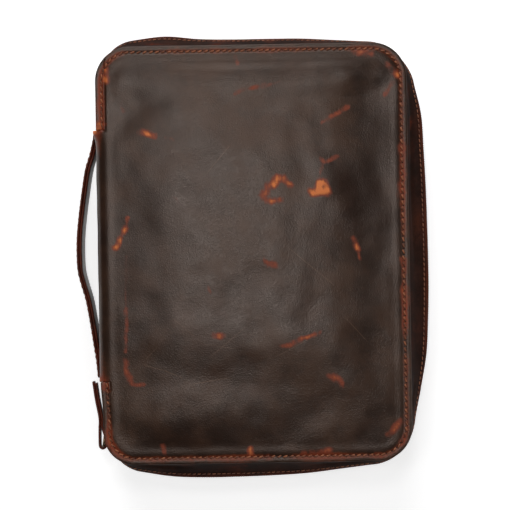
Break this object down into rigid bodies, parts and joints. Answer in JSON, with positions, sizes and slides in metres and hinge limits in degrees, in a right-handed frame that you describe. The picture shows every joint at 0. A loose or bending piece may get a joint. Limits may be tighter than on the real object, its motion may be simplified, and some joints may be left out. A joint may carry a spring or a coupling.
{
  "type": "bible in a zip-round leather case",
  "caption": "Bound scripture volume in a zip-round waxed leather case with a carrying strap on the spine. The case folds open flat and the book's cover opens with it.",
  "frame": {"origin": "middle of the back panel's outer face, on the surface the case lies on", "axes": "+X from the spine to the fore edge, +Y from the tail to the head, +Z through the thickness from the back panel to the front panel"},
  "size_m": [0.2297, 0.2868, 0.048],
  "materials": {
    "case_leather": "waxed pull-up cowhide, dark brown, scuffed to orange-red at the edges and rubs",
    "gusset_leather": "thinner waxed cowhide, dark brown, soft and slightly crumpled",
    "strap_leather": "two layers of waxed cowhide, red-brown cut edges",
    "pull_leather": "narrow waxed cowhide strip, red-brown cut edges",
    "pocket_leather": "thin brown leather, flesh side inwards",
    "lining_suede": "thin brown suede",
    "zip_tape": "dark brown woven polyester",
    "zip_coil": "dark brown nylon coil",
    "zip_metal": "aged brass plating, satin",
    "book_cover": "black grained binding leather over board",
    "book_pages": "thin cream printing paper, edges dulled gold",
    "endpaper": "plain cream paper",
    "end_band_thread": "worked thread, old gold and cream",
    "ribbon_satin": "dark red satin ribbon"
  },
  "bodies": {
    "back_half": {"back_panel": "case_leather", "back_gusset": "gusset_leather", "back_zip_tape": "zip_tape", "back_zip_teeth": "zip_coil", "back_zip_stops": "zip_metal", "back_lining": "lining_suede", "back_pocket": "pocket_leather", "bible_back_board": "book_cover", "bible_spine": "book_cover", "bible_pages": "book_pages", "bible_head_band": "end_band_thread", "bible_tail_band": "end_band_thread", "bible_ribbon": "ribbon_satin"},
    "spine": {"spine_panel": "case_leather", "spine_lining": "lining_suede", "strap_upper_tab": "strap_leather", "strap_lower_tab": "strap_leather"},
    "front_half": {"front_panel": "case_leather", "front_gusset": "gusset_leather", "front_zip_tape": "zip_tape", "front_zip_teeth": "zip_coil", "front_zip_stops": "zip_metal", "front_lining": "lining_suede", "front_pocket": "pocket_leather"},
    "bible_cover": {"bible_front_board": "book_cover", "bible_front_endpaper": "endpaper"},
    "carrying_strap": {"strap_outer_layer": "strap_leather", "strap_inner_layer": "strap_leather"},
    "zip_slider": {"zip_slider_body": "zip_metal", "zip_slider_bridge": "zip_metal"},
    "zip_ring": {"zip_pull_ring": "zip_metal"},
    "zip_pull": {"zip_pull_strap": "pull_leather"}
  },
  "joints": [
    {"name": "spine_fold", "type": "hinge", "parent": "back_half", "child": "spine", "pos_m": [-0.09745, 0, 0.00154], "axis": [0, -1, 0], "range_deg": [0, 90]},
    {"name": "front_fold", "type": "hinge", "parent": "spine", "child": "front_half", "pos_m": [-0.09745, 0, 0.04646], "axis": [0, -1, 0], "range_deg": [0, 90]},
    {"name": "book_cover_turn", "type": "hinge", "parent": "back_half", "child": "bible_cover", "pos_m": [-0.0884, 0, 0.0428], "axis": [0, -1, 0], "range_deg": [0, 189]},
    {"name": "strap_swing", "type": "hinge", "parent": "spine", "child": "carrying_strap", "pos_m": [-0.102, 0, 0.024], "axis": [0, 1, 0], "range_deg": [-22, 22], "stiffness_Nm_per_rad": 0.1},
    {"name": "zip_slide", "type": "slide", "parent": "back_half", "child": "zip_slider", "axis": [0, 1, 0], "range_m": [-0.0005, 0.008]},
    {"name": "ring_swing", "type": "hinge", "parent": "zip_slider", "child": "zip_ring", "pos_m": [-0.0977, -0.1081, 0.024], "axis": [0, 0, -1], "range_deg": [0, 45]},
    {"name": "pull_turn", "type": "hinge", "parent": "zip_ring", "child": "zip_pull", "pos_m": [-0.0998, -0.1234, 0.024], "axis": [0, 0, 1], "range_deg": [0, 90]}
  ],
  "couplings": [
    {"joint": "front_fold", "follows": "spine_fold", "ratio": 1},
    {"joint": "book_cover_turn", "follows": "spine_fold", "ratio": 2.1},
    {"joint": "pull_turn", "follows": "ring_swing", "ratio": 2}
  ]
}
